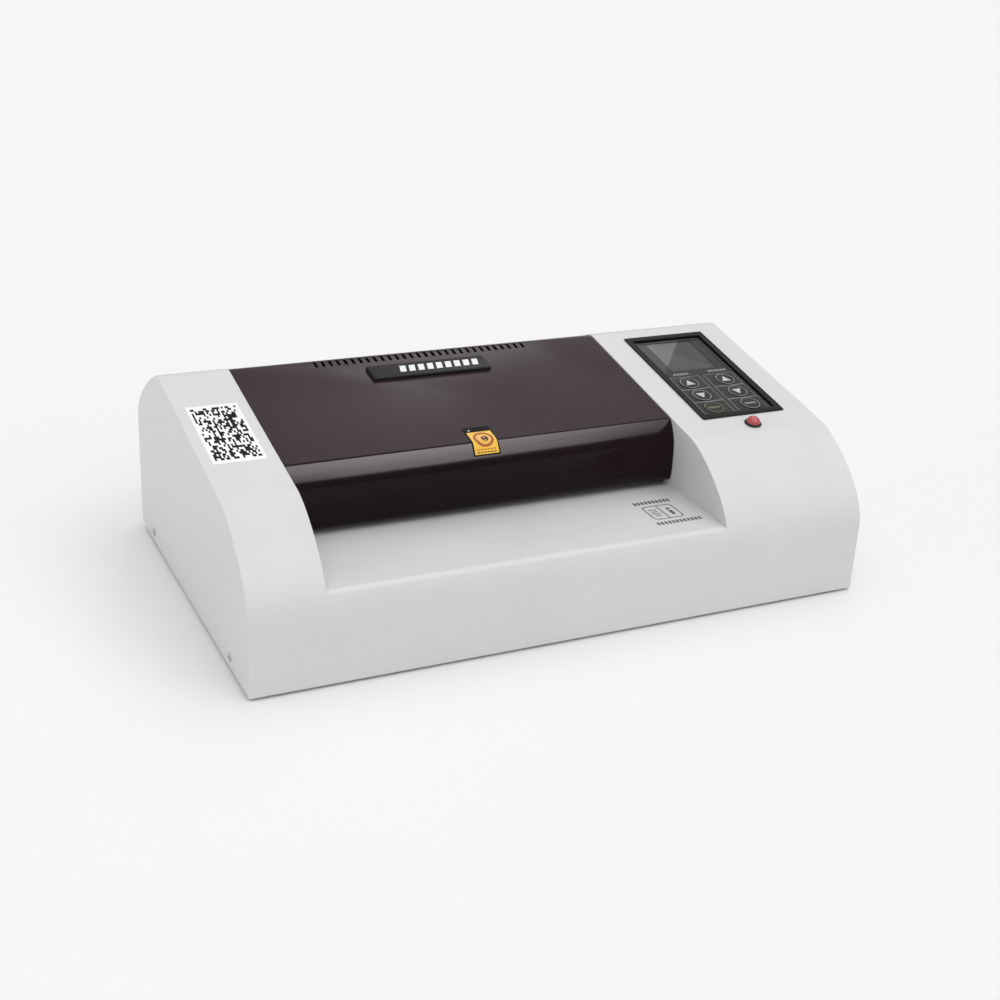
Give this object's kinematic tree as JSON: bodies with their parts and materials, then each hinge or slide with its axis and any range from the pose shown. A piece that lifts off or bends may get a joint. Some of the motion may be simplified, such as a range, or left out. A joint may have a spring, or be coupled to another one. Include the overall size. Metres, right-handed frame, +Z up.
{
  "type": "pouch laminator",
  "caption": "Desktop pouch laminator with white sheet-steel end wings and platform, a brown cover between them, geared rollers inside and a keypad with display on the right wing.",
  "frame": {"origin": "on the ground under the middle of the machine", "axes": "+X to the viewer's right along the rollers, +Y from the exit side to the feed side, +Z up"},
  "size_m": [0.5324, 0.3278, 0.164],
  "materials": {
    "white_paint": "satin powder coat",
    "brown_paint": "fine matte powder coat",
    "fascia_dark": "satin, slightly glossy",
    "zinc_steel": "zinc plated",
    "rubber_feet": "matte",
    "black_plastic": "fine grain",
    "keypad_film": "satin printed film",
    "window_smoked": "glossy",
    "lamp_red": "glossy translucent",
    "circuit_board": "solder resist",
    "bright_steel": "ground",
    "aluminium": "mill finish",
    "silicone": "matte",
    "nylon": "satin"
  },
  "bodies": {
    "root": {"casing_shell": "white_paint", "top_cover": "brown_paint", "front_fascia": "fascia_dark", "rear_apron": "white_paint", "base_pan": "zinc_steel", "foot_front_left": "rubber_feet", "foot_rear_left": "rubber_feet", "foot_front_right": "rubber_feet", "foot_rear_right": "rubber_feet", "screw_front_left": "zinc_steel", "screw_rear_left": "zinc_steel", "screw_front_right": "zinc_steel", "screw_rear_right": "zinc_steel", "name_plate": "black_plastic", "panel_bezel": "black_plastic", "key_membrane": "keypad_film", "display_window": "window_smoked", "power_lamp": "lamp_red", "control_board": "circuit_board", "power_inlet": "black_plastic", "drive_motor": "zinc_steel", "side_frame_left": "zinc_steel", "side_frame_right": "zinc_steel", "cross_tie": "bright_steel", "heater_lower": "aluminium", "heater_upper": "aluminium", "pressure_spring_front_left": "bright_steel", "pressure_spring_front_right": "bright_steel", "pressure_spring_middle_left": "bright_steel", "pressure_spring_middle_right": "bright_steel", "pressure_spring_rear_left": "bright_steel", "pressure_spring_rear_right": "bright_steel"},
    "lower_front": {"lower_roller_front": "silicone", "lower_gear_front": "nylon"},
    "lower_middle": {"lower_roller_middle": "silicone", "lower_gear_middle": "nylon"},
    "lower_rear": {"lower_roller_rear": "silicone", "lower_gear_rear": "nylon"},
    "carrier_front": {"bearing_block_front_left": "nylon", "bearing_block_front_right": "nylon"},
    "upper_front": {"upper_roller_front": "silicone", "upper_gear_front": "nylon"},
    "carrier_middle": {"bearing_block_middle_left": "nylon", "bearing_block_middle_right": "nylon"},
    "upper_middle": {"upper_roller_middle": "silicone", "upper_gear_middle": "nylon"},
    "carrier_rear": {"bearing_block_rear_left": "nylon", "bearing_block_rear_right": "nylon"},
    "upper_rear": {"upper_roller_rear": "silicone", "upper_gear_rear": "nylon"},
    "idler_front": {"idler_gear_front": "nylon"},
    "idler_rear": {"idler_gear_rear": "nylon"},
    "pinion": {"motor_pinion": "bright_steel"},
    "key_left_top": {"key_left_top": "keypad_film"},
    "key_left_middle": {"key_left_middle": "keypad_film"},
    "key_left_bottom": {"key_left_bottom": "keypad_film"},
    "key_right_top": {"key_right_top": "keypad_film"},
    "key_right_middle": {"key_right_middle": "keypad_film"},
    "key_right_bottom": {"key_right_bottom": "keypad_film"},
    "rocker": {"power_rocker": "black_plastic"}
  },
  "joints": [
    {"name": "lower_front_spin", "type": "hinge", "parent": "root", "child": "lower_front", "pos_m": [0, -0.0229, 0.0613], "axis": [1, 0, 0], "continuous": true},
    {"name": "lower_middle_spin", "type": "hinge", "parent": "root", "child": "lower_middle", "pos_m": [0, 0.0351, 0.0613], "axis": [1, 0, 0], "continuous": true},
    {"name": "lower_rear_spin", "type": "hinge", "parent": "root", "child": "lower_rear", "pos_m": [0, 0.0931, 0.0613], "axis": [1, 0, 0], "continuous": true},
    {"name": "carrier_front_lift", "type": "slide", "parent": "root", "child": "carrier_front", "axis": [0, 0, 1], "range_m": [0, 0.0012], "stiffness_N_per_m": 8000, "springref_m": -0.006, "deforming": ["pressure_spring_front_left", "pressure_spring_front_right"]},
    {"name": "upper_front_spin", "type": "hinge", "parent": "carrier_front", "child": "upper_front", "pos_m": [0, -0.0229, 0.0973], "axis": [1, 0, 0], "continuous": true},
    {"name": "carrier_middle_lift", "type": "slide", "parent": "root", "child": "carrier_middle", "axis": [0, 0, 1], "range_m": [0, 0.0012], "stiffness_N_per_m": 8000, "springref_m": -0.006, "deforming": ["pressure_spring_middle_left", "pressure_spring_middle_right"]},
    {"name": "upper_middle_spin", "type": "hinge", "parent": "carrier_middle", "child": "upper_middle", "pos_m": [0, 0.0351, 0.0973], "axis": [1, 0, 0], "continuous": true},
    {"name": "carrier_rear_lift", "type": "slide", "parent": "root", "child": "carrier_rear", "axis": [0, 0, 1], "range_m": [0, 0.0012], "stiffness_N_per_m": 8000, "springref_m": -0.006, "deforming": ["pressure_spring_rear_left", "pressure_spring_rear_right"]},
    {"name": "upper_rear_spin", "type": "hinge", "parent": "carrier_rear", "child": "upper_rear", "pos_m": [0, 0.0931, 0.0973], "axis": [1, 0, 0], "continuous": true},
    {"name": "idler_front_spin", "type": "hinge", "parent": "root", "child": "idler_front", "pos_m": [0.149, 0.0061, 0.05362], "axis": [1, 0, 0], "continuous": true},
    {"name": "idler_rear_spin", "type": "hinge", "parent": "root", "child": "idler_rear", "pos_m": [0.149, 0.0641, 0.05362], "axis": [1, 0, 0], "continuous": true},
    {"name": "pinion_spin", "type": "hinge", "parent": "root", "child": "pinion", "pos_m": [0.149, -0.0409, 0.0373], "axis": [1, 0, 0], "continuous": true},
    {"name": "key_left_top_press", "type": "slide", "parent": "root", "child": "key_left_top", "axis": [0, 0.1902, -0.9818], "range_m": [0, 0.0004], "stiffness_N_per_m": 600, "springref_m": -0.0006},
    {"name": "key_left_middle_press", "type": "slide", "parent": "root", "child": "key_left_middle", "axis": [0, 0.1902, -0.9818], "range_m": [0, 0.0004], "stiffness_N_per_m": 600, "springref_m": -0.0006},
    {"name": "key_left_bottom_press", "type": "slide", "parent": "root", "child": "key_left_bottom", "axis": [0, 0.1902, -0.9818], "range_m": [0, 0.0004], "stiffness_N_per_m": 600, "springref_m": -0.0006},
    {"name": "key_right_top_press", "type": "slide", "parent": "root", "child": "key_right_top", "axis": [0, 0.1902, -0.9818], "range_m": [0, 0.0004], "stiffness_N_per_m": 600, "springref_m": -0.0006},
    {"name": "key_right_middle_press", "type": "slide", "parent": "root", "child": "key_right_middle", "axis": [0, 0.1902, -0.9818], "range_m": [0, 0.0004], "stiffness_N_per_m": 600, "springref_m": -0.0006},
    {"name": "key_right_bottom_press", "type": "slide", "parent": "root", "child": "key_right_bottom", "axis": [0, 0.1902, -0.9818], "range_m": [0, 0.0004], "stiffness_N_per_m": 600, "springref_m": -0.0006},
    {"name": "rocker_tilt", "type": "hinge", "parent": "root", "child": "rocker", "pos_m": [0.205, 0.1556, 0.0545], "axis": [0, 0, 1], "range_deg": [-14, 0]}
  ],
  "couplings": [
    {"joint": "upper_front_spin", "follows": "lower_front_spin", "ratio": -1},
    {"joint": "upper_middle_spin", "follows": "lower_front_spin", "ratio": -1},
    {"joint": "upper_rear_spin", "follows": "lower_front_spin", "ratio": -1},
    {"joint": "lower_middle_spin", "follows": "lower_front_spin", "ratio": 1},
    {"joint": "lower_rear_spin", "follows": "lower_front_spin", "ratio": 1},
    {"joint": "idler_front_spin", "follows": "lower_front_spin", "ratio": -1.5},
    {"joint": "idler_rear_spin", "follows": "lower_front_spin", "ratio": -1.5},
    {"joint": "pinion_spin", "follows": "lower_front_spin", "ratio": -1.5}
  ]
}
